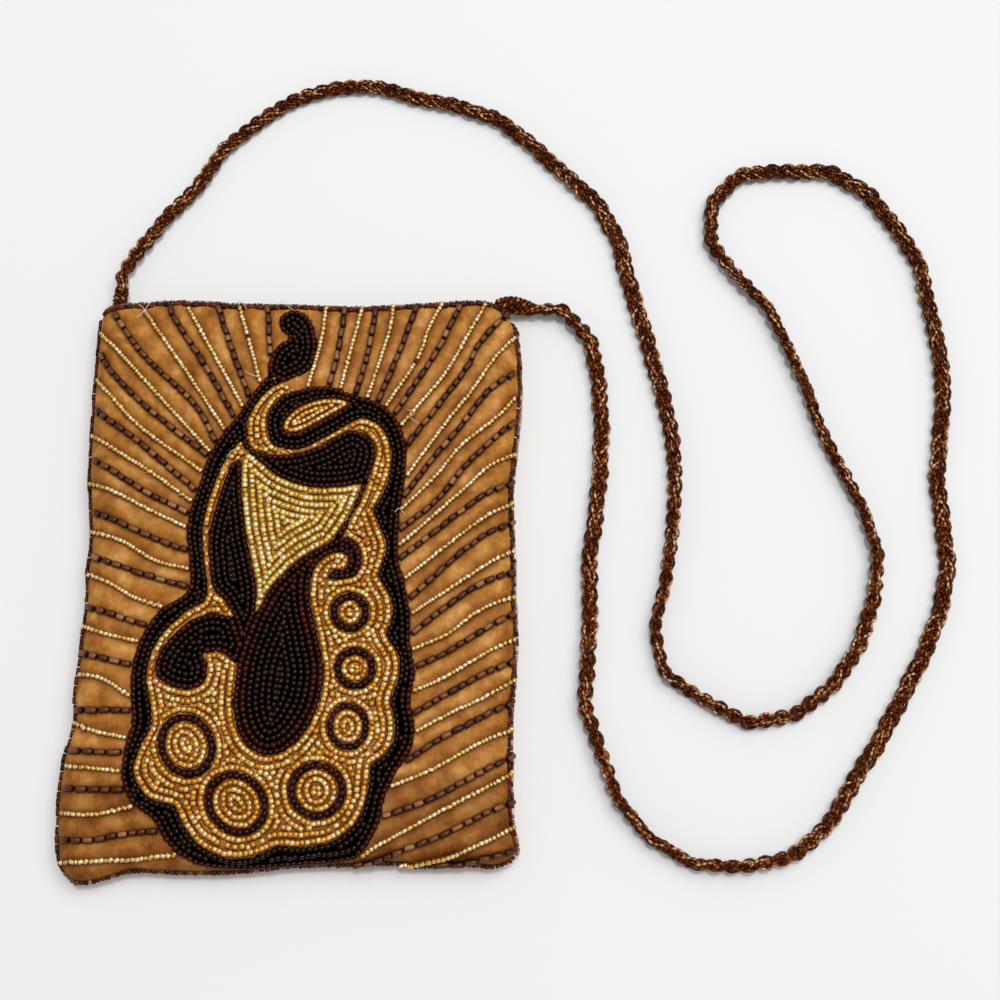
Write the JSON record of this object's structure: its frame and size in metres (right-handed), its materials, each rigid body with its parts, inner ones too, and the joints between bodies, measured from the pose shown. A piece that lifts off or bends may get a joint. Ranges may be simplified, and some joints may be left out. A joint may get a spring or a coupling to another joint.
{
  "type": "beaded evening purse",
  "caption": "Flat rectangular evening purse with a beaded paisley front, a zip inside its mouth and a long braided bead strap.",
  "frame": {"origin": "on the surface that the purse lies on, under the middle of the purse without its strap", "axes": "+X to the right of the beaded front, +Y towards the mouth, +Z out of the front"},
  "size_m": [0.3102, 0.2989, 0.0125],
  "materials": {
    "satin": "tan satin with a soft sheen",
    "canvas": "matt woven interlining",
    "lining_cloth": "pale lining",
    "brown_beads": "glossy dark brown glass tube and seed beads",
    "black_beads": "glossy black glass seed beads",
    "gold_beads": "silver-lined gold glass seed beads",
    "copper_beads": "root-beer brown glass beads with copper glints",
    "tape_cloth": "woven brown zip tape",
    "brass": "polished brass"
  },
  "bodies": {
    "purse": {"back_cloth": "satin", "front_cloth": "satin", "back_interlining": "canvas", "front_interlining": "canvas", "side_seam_left": "canvas", "side_seam_right": "canvas", "bottom_seam": "canvas", "back_lining": "lining_cloth", "front_lining": "lining_cloth", "piping_top": "brown_beads", "piping_left": "brown_beads", "piping_right": "brown_beads", "piping_bottom": "brown_beads", "link_strip": "brown_beads", "ring_1": "brown_beads", "ring_2": "brown_beads", "ring_3": "brown_beads", "ring_4": "brown_beads", "ring_5": "brown_beads", "ring_6": "brown_beads", "paisley_band": "black_beads", "paisley_bud": "black_beads", "crescent": "black_beads", "stem_leaf": "black_beads", "left_curl": "black_beads", "teardrop": "black_beads", "gold_ground": "gold_beads", "gold_triangle": "gold_beads", "head_leaf": "gold_beads", "ring_centre_1": "gold_beads", "ring_centre_2": "gold_beads", "ring_centre_3": "gold_beads", "ring_centre_4": "gold_beads", "ring_centre_5": "gold_beads", "ring_centre_6": "gold_beads", "strap": "copper_beads", "strap_knot_left": "copper_beads", "strap_knot_right": "copper_beads", "zip_tape_front": "tape_cloth", "zip_tape_back": "tape_cloth", "zip_teeth_front": "brass", "zip_teeth_back": "brass", "zip_bottom_stop": "brass", "zip_top_stop_front": "brass", "zip_top_stop_back": "brass"},
    "slider": {"zip_slider": "brass"},
    "pull": {"zip_pull": "brass"}
  },
  "joints": [
    {"name": "zip_slide", "type": "slide", "parent": "purse", "child": "slider", "axis": [1, 0, 0], "range_m": [-0.109, 0]},
    {"name": "pull_hinge", "type": "hinge", "parent": "slider", "child": "pull", "pos_m": [0.0591, 0.0957, 0.00535], "axis": [0, 0, 1], "range_deg": [-130, 0]}
  ]
}
